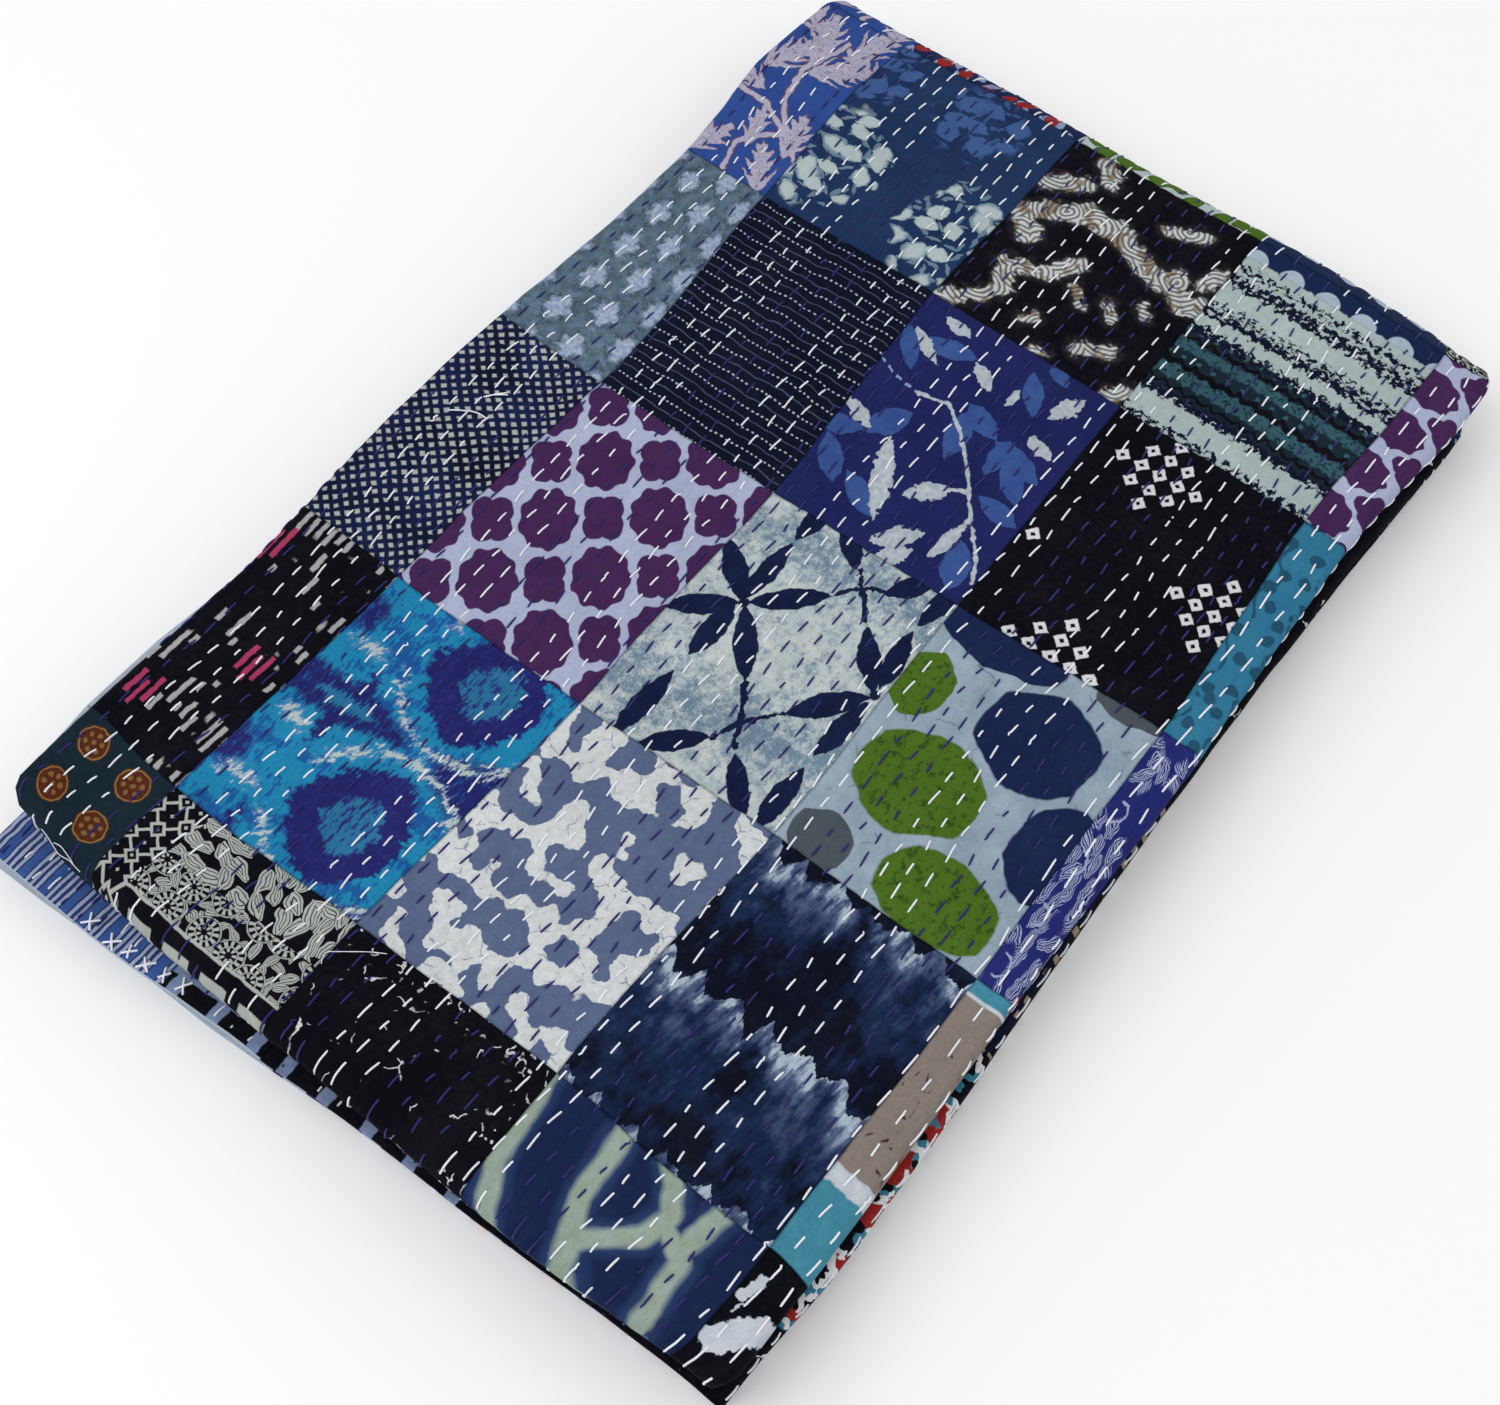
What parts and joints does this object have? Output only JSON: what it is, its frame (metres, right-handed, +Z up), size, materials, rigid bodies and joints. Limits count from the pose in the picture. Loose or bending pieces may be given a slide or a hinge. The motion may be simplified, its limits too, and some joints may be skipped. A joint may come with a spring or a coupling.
{
  "type": "folded kantha quilt",
  "caption": "Patchwork kantha quilt folded in half twice each way into a flat, stitched bundle that rests on its underside.",
  "frame": {"origin": "centre of the folded bundle's box, on the surface it rests on", "axes": "+X along the bundle, from the hem end to the outer short fold; +Y across it, to the edge with the cloth's hems; +Z up"},
  "size_m": [0.5994, 0.3878, 0.0426],
  "materials": {
    "quilted_cotton": "matte"
  },
  "bodies": {
    "root": {"quilt": "quilted_cotton"}
  },
  "joints": []
}
